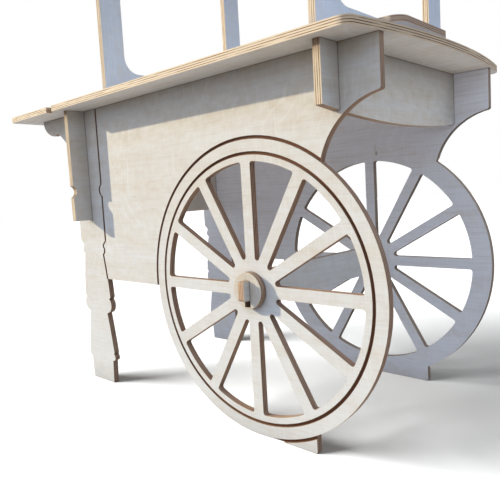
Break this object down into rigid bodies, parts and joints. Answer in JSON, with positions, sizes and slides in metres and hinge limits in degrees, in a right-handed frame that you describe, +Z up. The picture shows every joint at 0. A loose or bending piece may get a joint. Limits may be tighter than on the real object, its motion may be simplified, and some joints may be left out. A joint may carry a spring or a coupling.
{
  "type": "candy cart",
  "caption": "Slot-together plywood candy cart: a bowed counter on side panels with fixed cut-out wheels and turned-look legs, with end frames, a riser shelf and a gabled canopy above.",
  "frame": {"origin": "on the floor, under the middle of the counter", "axes": "X along the cart towards the wheel end, Y from the near side to the far side, Z up"},
  "size_m": [1.4358, 0.789, 1.933],
  "materials": {
    "whitewashed_plywood": "birch plywood with a matt white wash on its faces and bare tan and brown layers on its cut edges"
  },
  "bodies": {
    "base": {"side_panel_near": "whitewashed_plywood", "side_panel_far": "whitewashed_plywood", "leg_end_panel": "whitewashed_plywood", "wheel_end_panel": "whitewashed_plywood", "axle_board": "whitewashed_plywood"},
    "counter": {"counter_top": "whitewashed_plywood"},
    "canopy_frame": {"end_frame_left": "whitewashed_plywood", "end_frame_right": "whitewashed_plywood", "ridge_beam": "whitewashed_plywood", "valance_near": "whitewashed_plywood", "valance_far": "whitewashed_plywood", "gable_board_left": "whitewashed_plywood", "gable_board_right": "whitewashed_plywood"},
    "shelf": {"riser_shelf": "whitewashed_plywood"},
    "roof_near": {"roof_board_near": "whitewashed_plywood"},
    "roof_far": {"roof_board_far": "whitewashed_plywood"},
    "disc_near": {"hub_disc_near": "whitewashed_plywood"},
    "disc_far": {"hub_disc_far": "whitewashed_plywood"}
  },
  "joints": [
    {"name": "counter_lift", "type": "slide", "parent": "base", "child": "counter", "axis": [0, 0, 1], "range_m": [0, 0.04]},
    {"name": "canopy_lift", "type": "slide", "parent": "counter", "child": "canopy_frame", "axis": [0, 0, 1], "range_m": [0, 0.04]},
    {"name": "shelf_slide", "type": "slide", "parent": "canopy_frame", "child": "shelf", "axis": [1, 0, 0], "range_m": [-0.095, 0.095]},
    {"name": "roof_near_lift", "type": "slide", "parent": "canopy_frame", "child": "roof_near", "axis": [0, -0.3714, 0.9285], "range_m": [0, 0.04]},
    {"name": "roof_far_lift", "type": "slide", "parent": "canopy_frame", "child": "roof_far", "axis": [0, 0.3714, 0.9285], "range_m": [0, 0.04]},
    {"name": "disc_near_lift", "type": "slide", "parent": "base", "child": "disc_near", "axis": [0, 0, 1], "range_m": [0, 0.014]},
    {"name": "disc_far_lift", "type": "slide", "parent": "base", "child": "disc_far", "axis": [0, 0, 1], "range_m": [0, 0.014]}
  ]
}
